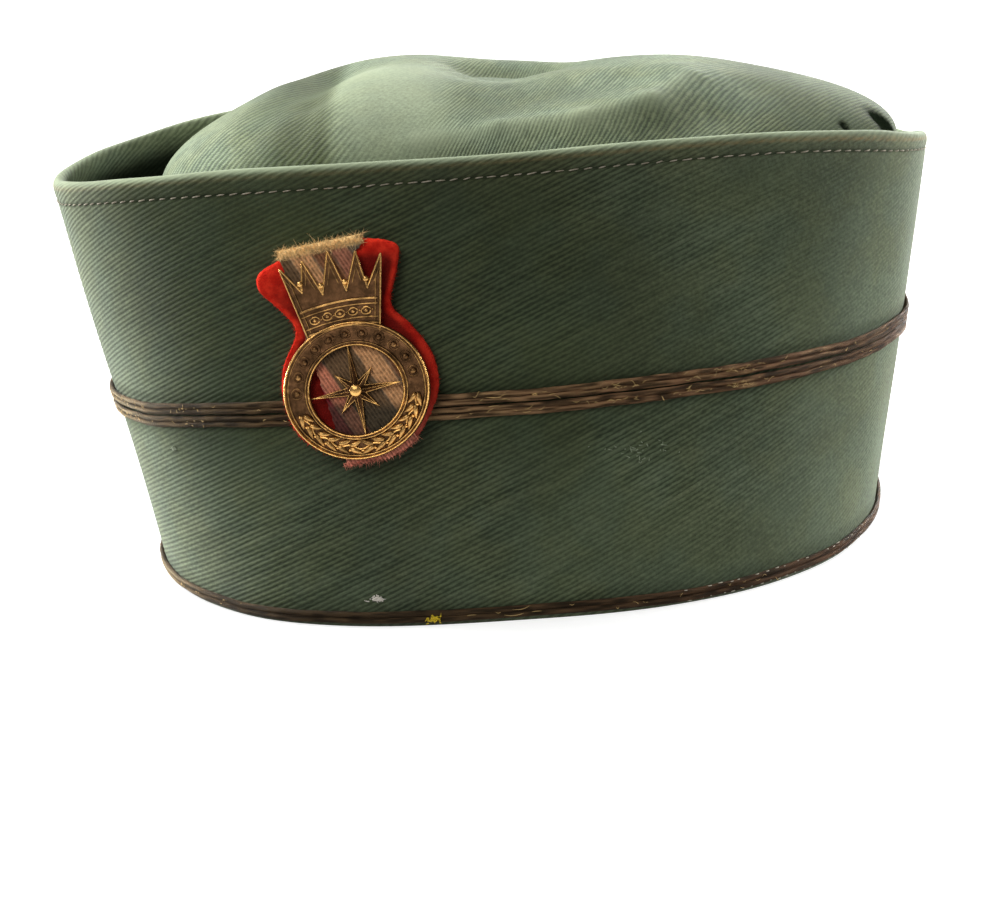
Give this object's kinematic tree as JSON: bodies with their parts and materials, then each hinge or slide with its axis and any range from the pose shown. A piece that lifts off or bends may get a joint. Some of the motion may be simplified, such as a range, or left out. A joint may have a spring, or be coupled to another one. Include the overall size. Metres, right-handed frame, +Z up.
{
  "type": "songkok",
  "caption": "Tall boat-shaped cap of green drill with an upright band, soft domed crown, tarnished braid and a brass badge over red felt.",
  "frame": {"origin": "middle of the bottom edge, on the surface that the cap stands on", "axes": "+X from the front of the cap to its rear, +Y to the wearer's right, +Z up; the badge is on the -Y side"},
  "size_m": [0.2212, 0.1714, 0.1205],
  "materials": {
    "green_drill": "faded green cotton drill with a diagonal twill",
    "tarnished_braid": "metal-thread braid, tarnished brown with glints of gold",
    "red_felt": "scarlet wool felt",
    "ribbon": "ribbed ribbon, faded pink and beige",
    "badge_brass": "struck brass, dark in the recesses and bright on raised edges"
  },
  "bodies": {
    "root": {"band": "green_drill", "crown": "green_drill", "middle_braid_upper": "tarnished_braid", "middle_braid_lower": "tarnished_braid", "bottom_braid": "tarnished_braid", "felt_backing": "red_felt", "ribbon": "ribbon", "badge": "badge_brass"}
  },
  "joints": []
}
